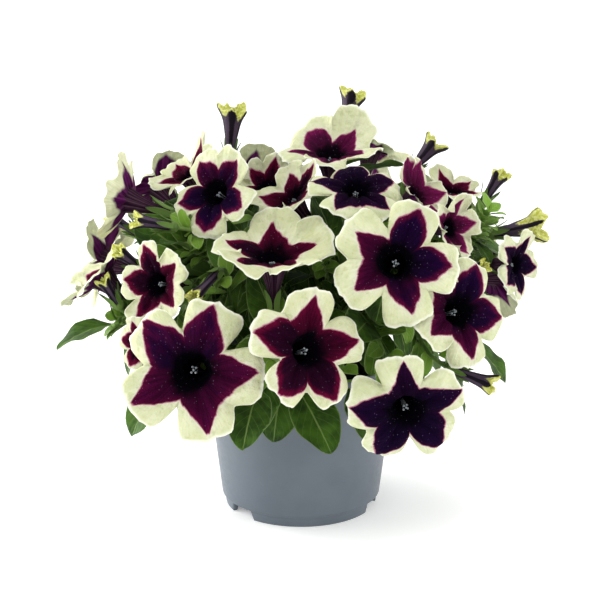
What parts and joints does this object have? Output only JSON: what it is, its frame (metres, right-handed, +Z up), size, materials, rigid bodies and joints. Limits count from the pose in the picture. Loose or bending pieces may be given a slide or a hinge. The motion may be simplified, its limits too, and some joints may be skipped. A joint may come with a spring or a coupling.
{
  "type": "potted petunia",
  "caption": "Bushy petunia with dark star-marked, cream-edged funnel flowers and green leaves, growing in a round tapered nursery pot.",
  "frame": {"origin": "centre of the pot's foot, on the surface it stands on", "axes": "+Z up along the pot's axis, -Y towards the viewer of the front, +X to that viewer's right"},
  "size_m": [0.2746, 0.2871, 0.2396],
  "materials": {
    "pot": "moulded grey-blue polypropylene, slight satin sheen",
    "soil": "moist potting mix of peat and composted bark",
    "leaf": "soft hairy leaf, dull",
    "petal": "velvety petal, dark star and cream margin",
    "bud": "folded petals, dark ribs with yellow-green tips"
  },
  "bodies": {
    "root": {"pot": "pot", "soil": "soil", "stem_front": "leaf", "stem_front_right": "leaf", "stem_right": "leaf", "stem_right_back": "leaf", "stem_back": "leaf", "stem_back_left": "leaf", "stem_left": "leaf", "stem_front_left": "leaf", "stem_top_front": "leaf", "stem_top_right": "leaf", "stem_top_back": "leaf", "stem_top_left": "leaf", "bloom_front_left": "petal", "bloom_front_low": "petal", "bloom_front_right": "petal", "bloom_left_high": "petal", "bloom_right_side": "petal", "bloom_right_back": "petal", "bloom_back_low": "petal", "bloom_back_left_low": "petal", "bloom_top_dark": "petal", "bloom_top_right": "petal", "bloom_top_back": "petal", "bloom_top_left": "petal", "bloom_front_hanging": "petal", "bloom_right_low": "petal", "bloom_front_up": "petal", "bloom_left_upper": "petal", "bloom_left_side": "petal", "bloom_left_low": "petal", "bloom_left_behind": "petal", "bloom_top_middle": "petal", "bloom_top_crown": "petal", "bloom_top_trumpet": "petal", "bloom_top_magenta": "petal", "bloom_right_wilting": "petal", "bloom_right_back_low": "petal", "bloom_right_back_high": "petal", "bloom_back_high": "petal", "bloom_back_left_high": "petal", "bloom_left_back": "petal", "bloom_left_back_high": "petal", "bud_left_tall": "bud", "bud_top": "bud", "bud_right_top": "bud", "bud_right_high": "bud", "bud_left_a": "bud", "bud_left_b": "bud", "bud_left_c": "bud", "bud_right_opening": "bud", "bud_right_low": "bud", "bud_wilted": "bud", "bud_right_small": "bud", "bud_back": "bud", "bud_back_left": "bud", "bud_left_back": "bud"}
  },
  "joints": []
}
